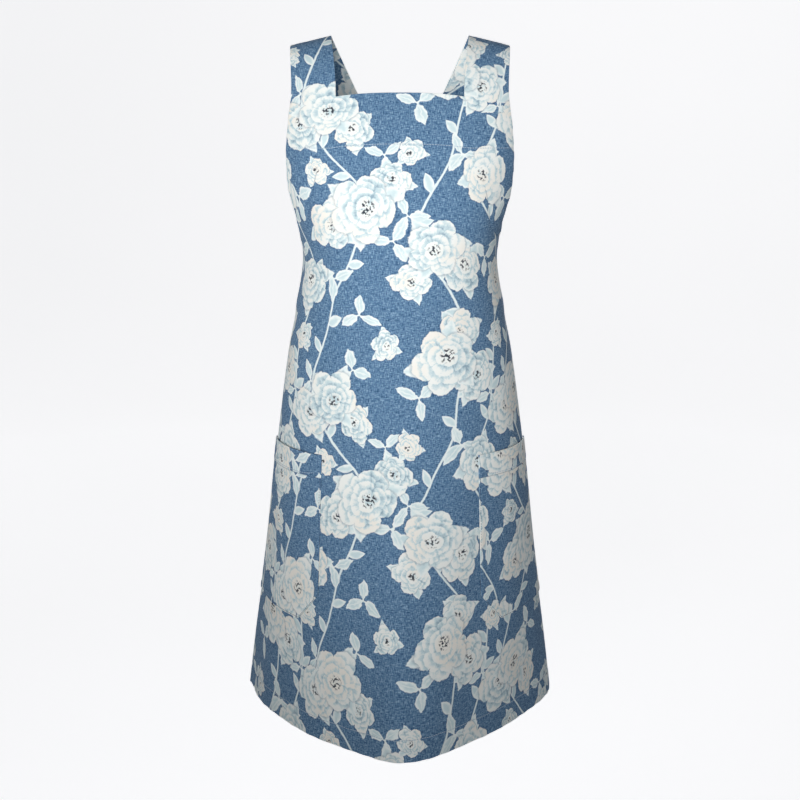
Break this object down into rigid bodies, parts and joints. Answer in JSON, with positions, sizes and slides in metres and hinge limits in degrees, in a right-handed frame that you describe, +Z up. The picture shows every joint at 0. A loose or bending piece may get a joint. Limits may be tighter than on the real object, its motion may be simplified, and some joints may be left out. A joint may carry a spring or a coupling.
{
  "type": "cross-back apron",
  "caption": "Bib apron in its worn shape, with shoulder straps that cross behind, an open back, side-back panels and patch pockets on the hips.",
  "frame": {"origin": "midway between the two straps, on the line where their undersides sit on the shoulders", "axes": "+Z up, the front faces -Y, +X towards the wearer's left"},
  "size_m": [0.4458, 0.3882, 0.9639],
  "materials": {
    "front_cloth": "printed cotton, heathered blue with white roses",
    "back_cloth": "printed cotton, heathered blue with white roses",
    "strap_cloth": "printed cotton, heathered blue with white roses",
    "pocket_cloth": "printed cotton, heathered blue with white roses"
  },
  "bodies": {
    "root": {"front_panel": "front_cloth", "back_panel_left": "back_cloth", "back_panel_right": "back_cloth", "strap_left": "strap_cloth", "strap_right": "strap_cloth", "pocket_left": "pocket_cloth", "pocket_right": "pocket_cloth"}
  },
  "joints": []
}
